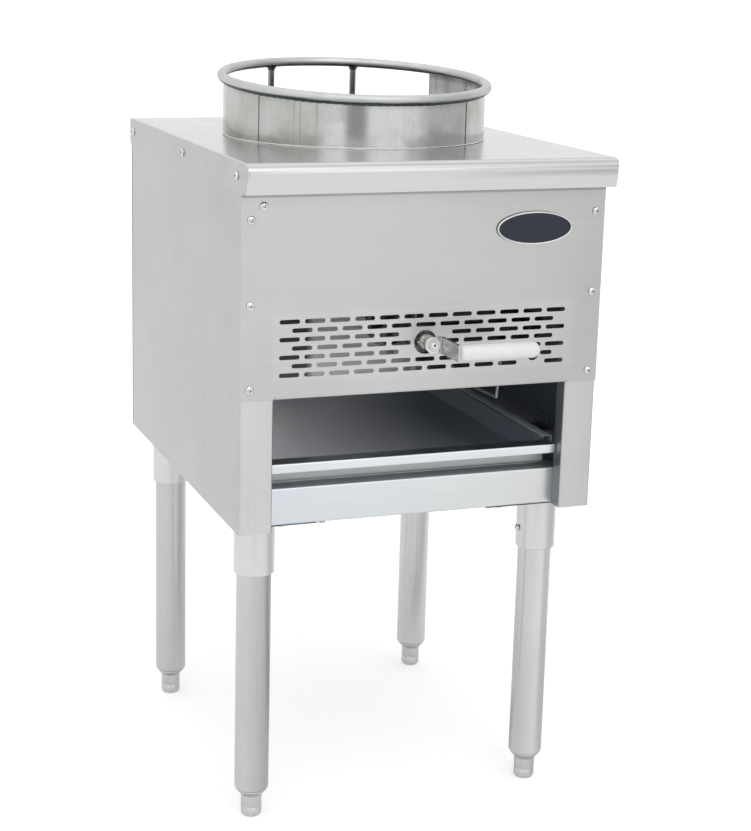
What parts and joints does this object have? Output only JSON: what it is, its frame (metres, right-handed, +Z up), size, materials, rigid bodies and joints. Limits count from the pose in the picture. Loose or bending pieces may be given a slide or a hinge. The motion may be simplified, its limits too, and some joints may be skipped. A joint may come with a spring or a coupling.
{
  "type": "wok range",
  "caption": "Free-standing gas wok range: steel cabinet on adjustable legs, wok ring on its top cover, swing lever valve and a sliding drip tray.",
  "frame": {"origin": "on the floor, under the middle of the outer box between the lever's grip and the gas inlet's end", "axes": "+Z up, -Y to the front where the lever and the vent slots are, +X to the right seen from the front"},
  "size_m": [0.4628, 0.643, 0.9137],
  "materials": {
    "satin_sheet": "satin stainless sheet, fine grain",
    "bright_sheet": "bright satin stainless sheet, fine grain",
    "ring_steel": "rolled steel, dull satin",
    "socket_steel": "turned steel, satin plate",
    "leg_steel": "polished tube, lengthwise grain",
    "foot_steel": "plated steel, satin",
    "zinc_steel": "plain plated steel",
    "lever_steel": "plated strip, light wear",
    "screw_steel": "bright screw head",
    "chamber_steel": "heat-dulled sheet",
    "burner_iron": "rough casting",
    "valve_brass": "plain brass",
    "valve_body": "cast body, plated bonnet",
    "black_pipe": "black iron pipe",
    "pilot_aluminium": "soft drawn tube",
    "white_grip": "smooth white sleeve",
    "badge_face": "bare dark plate with a light edge"
  },
  "bodies": {
    "cabinet": {"top_cover": "bright_sheet", "side_panel_left": "satin_sheet", "side_panel_right": "satin_sheet", "front_panel": "satin_sheet", "rear_panel": "satin_sheet", "front_rail": "bright_sheet", "rear_rail": "satin_sheet", "base_channel_left": "zinc_steel", "base_channel_right": "zinc_steel", "badge_plate": "badge_face", "front_screw_1": "screw_steel", "front_screw_2": "screw_steel", "front_screw_3": "screw_steel", "front_screw_4": "screw_steel", "front_screw_5": "screw_steel", "front_screw_6": "screw_steel", "front_screw_7": "screw_steel", "cover_screw_left_1": "screw_steel", "cover_screw_left_2": "screw_steel", "cover_screw_left_3": "screw_steel", "cover_screw_right_1": "screw_steel", "cover_screw_right_2": "screw_steel", "cover_screw_right_3": "screw_steel", "leg_socket_front_left": "socket_steel", "leg_socket_front_right": "socket_steel", "leg_socket_rear_right": "socket_steel", "leg_socket_rear_left": "socket_steel", "leg_tube_front_left": "leg_steel", "leg_tube_front_right": "leg_steel", "leg_tube_rear_right": "leg_steel", "leg_tube_rear_left": "leg_steel", "tray_runner_left": "zinc_steel", "tray_runner_right": "zinc_steel", "burner_chamber": "chamber_steel", "burner_bracket": "chamber_steel", "burner_head": "burner_iron", "mixing_tube": "burner_iron", "orifice_hood": "valve_brass", "gas_valve": "valve_body", "cross_pipe": "black_pipe", "pipe_elbow": "black_pipe", "supply_pipe": "black_pipe", "pipe_bracket": "zinc_steel", "pilot_valve": "valve_brass", "pilot_tube": "pilot_aluminium", "pilot_burner": "valve_brass"},
    "valve_handle": {"valve_stem": "zinc_steel", "valve_lever": "lever_steel", "lever_grip": "white_grip", "lever_screw": "screw_steel"},
    "tray": {"drip_tray": "bright_sheet"},
    "wok_ring": {"ring_wall": "ring_steel", "ring_rim": "ring_steel", "ring_post_left": "ring_steel", "ring_post_right": "ring_steel"},
    "shutter": {"air_shutter": "zinc_steel"},
    "adjuster_front_left": {"foot_front_left": "foot_steel"},
    "adjuster_front_right": {"foot_front_right": "foot_steel"},
    "adjuster_rear_right": {"foot_rear_right": "foot_steel"},
    "adjuster_rear_left": {"foot_rear_left": "foot_steel"}
  },
  "joints": [
    {"name": "valve_turn", "type": "hinge", "parent": "cabinet", "child": "valve_handle", "pos_m": [0, -0.26, 0.609], "axis": [0, -1, 0], "range_deg": [0, 90]},
    {"name": "tray_slide", "type": "slide", "parent": "cabinet", "child": "tray", "axis": [0, -1, 0], "range_m": [0, 0.4]},
    {"name": "ring_lift", "type": "slide", "parent": "cabinet", "child": "wok_ring", "axis": [0, 0, 1], "range_m": [0, 0.12]},
    {"name": "shutter_turn", "type": "hinge", "parent": "cabinet", "child": "shutter", "pos_m": [0, -0.126, 0.609], "axis": [0, -1, 0], "range_deg": [0, 45]},
    {"name": "foot_front_left_screw", "type": "slide", "parent": "cabinet", "child": "adjuster_front_left", "axis": [0, 0, -1], "range_m": [0, 0.025]},
    {"name": "foot_front_right_screw", "type": "slide", "parent": "cabinet", "child": "adjuster_front_right", "axis": [0, 0, -1], "range_m": [0, 0.025]},
    {"name": "foot_rear_right_screw", "type": "slide", "parent": "cabinet", "child": "adjuster_rear_right", "axis": [0, 0, -1], "range_m": [0, 0.025]},
    {"name": "foot_rear_left_screw", "type": "slide", "parent": "cabinet", "child": "adjuster_rear_left", "axis": [0, 0, -1], "range_m": [0, 0.025]}
  ]
}
